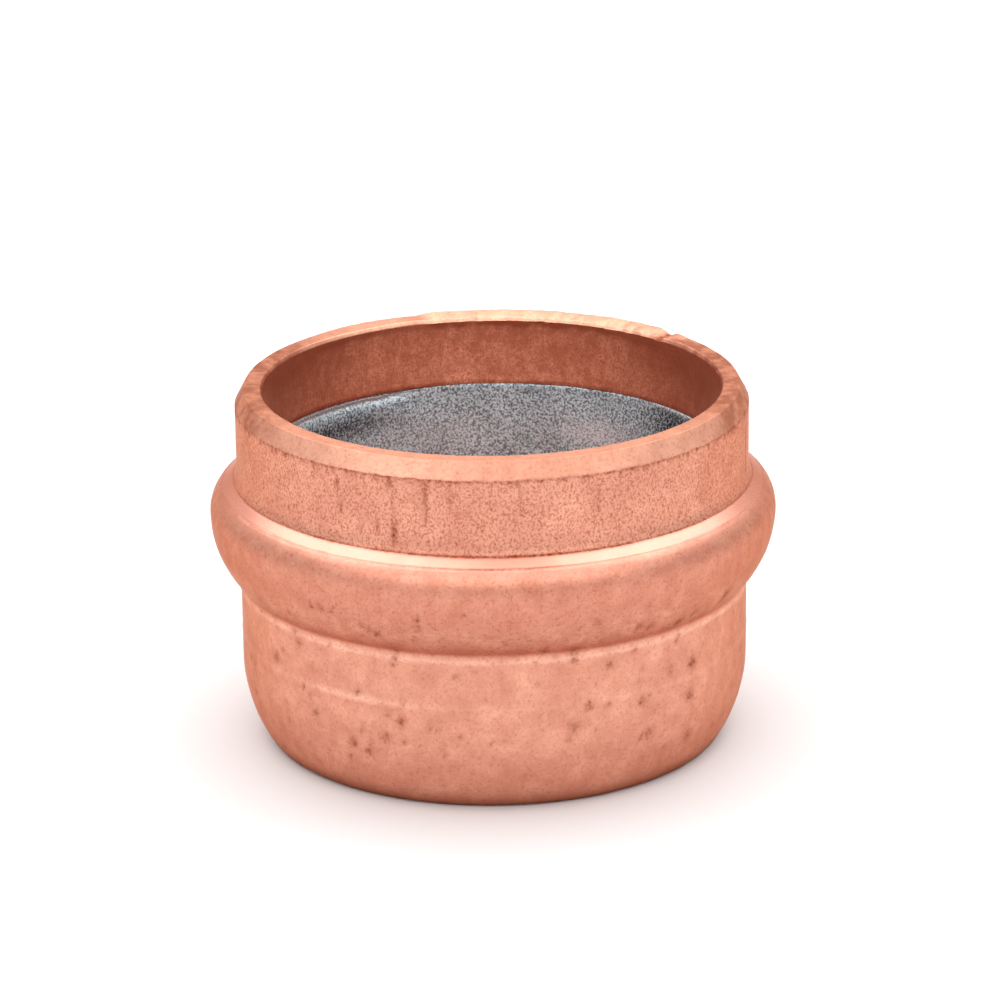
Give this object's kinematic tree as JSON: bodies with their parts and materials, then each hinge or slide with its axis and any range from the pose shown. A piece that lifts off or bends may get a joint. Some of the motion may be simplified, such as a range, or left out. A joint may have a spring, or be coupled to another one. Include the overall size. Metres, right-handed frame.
{
  "type": "solder ring stop end",
  "caption": "Drawn copper cup that caps the end of a small water tube, with a rolled bead near its mouth and a solder ring pressed in the groove inside it.",
  "frame": {"origin": "centre of the closed end's underside, which the part stands on", "axes": "+Z along the tube's axis, out of the open mouth; -Y is the front, where the ring's split is"},
  "size_m": [0.0188, 0.0188, 0.012],
  "materials": {
    "copper": "satin",
    "solder": "matte"
  },
  "bodies": {
    "root": {"copper_cup": "copper", "solder_ring": "solder"}
  },
  "joints": []
}
